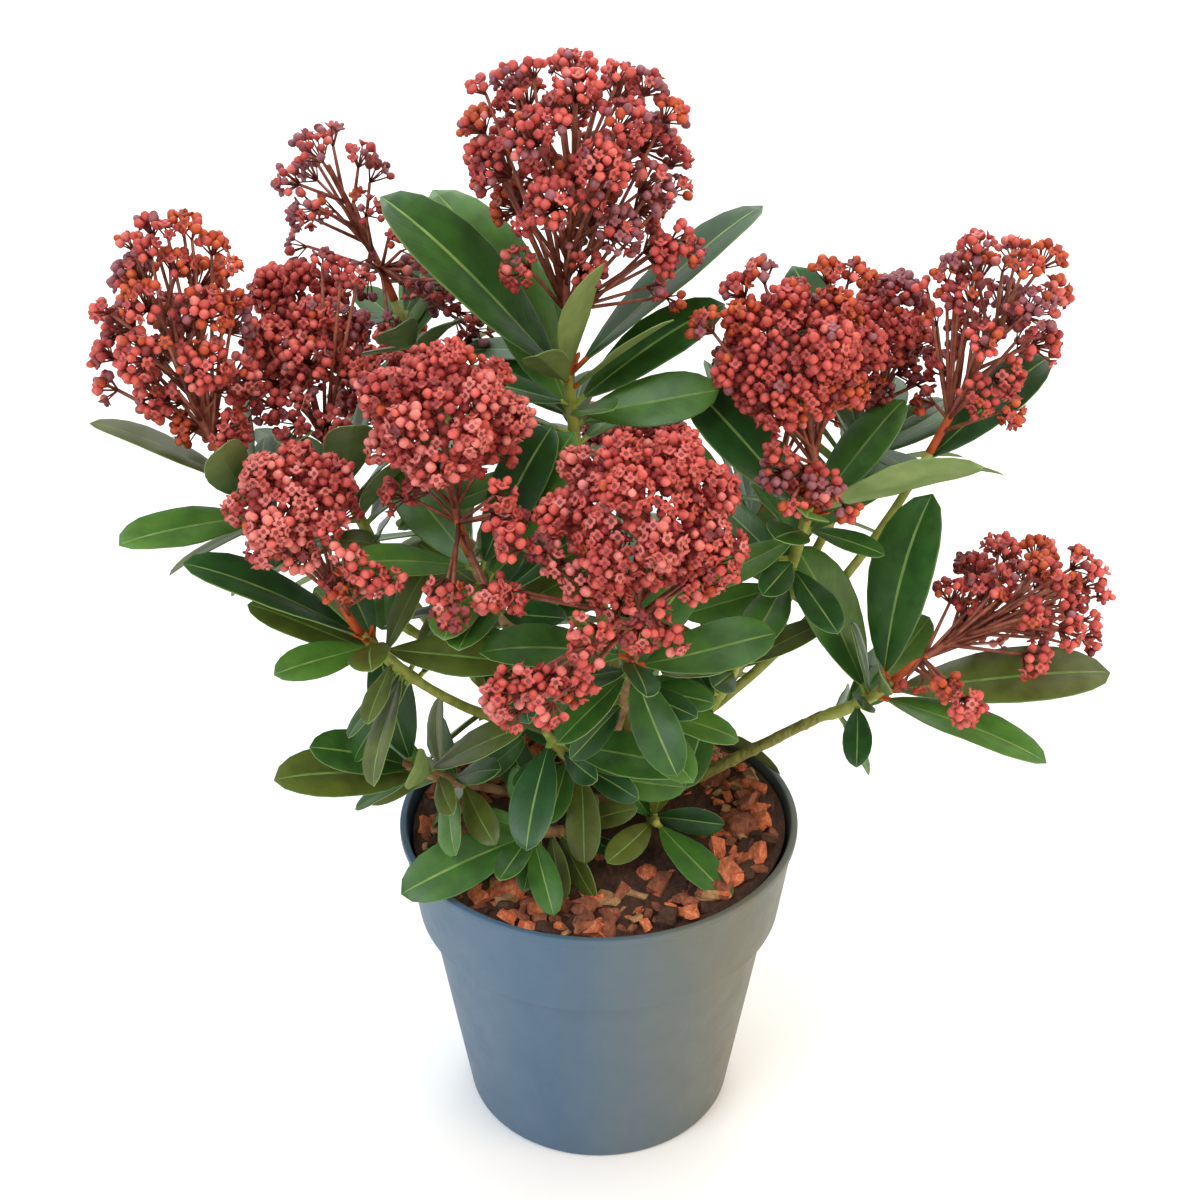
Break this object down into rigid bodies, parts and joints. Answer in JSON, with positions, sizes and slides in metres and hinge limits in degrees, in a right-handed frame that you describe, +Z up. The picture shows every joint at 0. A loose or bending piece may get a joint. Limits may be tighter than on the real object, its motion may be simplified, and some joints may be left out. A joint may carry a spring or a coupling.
{
  "type": "potted skimmia shrub in flower",
  "caption": "Young evergreen shrub in a tapered nursery pot: whorls of leathery leaves on branching stems below rounded, knobbly red flower heads.",
  "frame": {"origin": "centre of the pot's flat underside", "axes": "+Z up through the pot; +Y towards the back of the plant; +X to the right as seen from the front"},
  "size_m": [0.3982, 0.28, 0.4579],
  "materials": {
    "pot": "moulded, matte blue-grey",
    "growing_medium": "loose coarse bark chips, rough",
    "bark": "young bark, ribbed and dull",
    "leaf": "leathery leaf, waxy gloss",
    "flower": "flower buds, smooth and waxy"
  },
  "bodies": {
    "root": {"pot": "pot", "growing_medium": "growing_medium", "trunk": "bark", "bough_upright": "bark", "bough_left": "bark", "bough_front": "bark", "bough_right": "bark", "bough_low_right": "bark", "bough_rear": "bark", "leaves_top": "leaf", "leaves_left_rear": "leaf", "leaves_left_outer": "leaf", "leaves_left_inner": "leaf", "leaves_centre": "leaf", "leaves_left_front": "leaf", "leaves_front": "leaf", "leaves_right_inner": "leaf", "leaves_right_rear": "leaf", "leaves_right_outer": "leaf", "leaves_right_low": "leaf", "leaves_rear_left": "leaf", "leaves_rear_right": "leaf", "leaves_rear_low": "leaf", "leaves_mid_right": "leaf", "leaves_low_left": "leaf", "leaves_low_front": "leaf", "leaves_low_near": "leaf", "leaves_low_right": "leaf", "leaves_low_rear": "leaf", "leaves_low_rear_left": "leaf", "flowers_top": "flower", "flowers_left_rear": "flower", "flowers_left_outer": "flower", "flowers_left_inner": "flower", "flowers_centre": "flower", "flowers_left_front": "flower", "flowers_front": "flower", "flowers_right_inner": "flower", "flowers_right_rear": "flower", "flowers_right_outer": "flower", "flowers_right_low": "flower", "flowers_rear_left": "flower", "flowers_rear_right": "flower", "flowers_rear_low": "flower"}
  },
  "joints": []
}
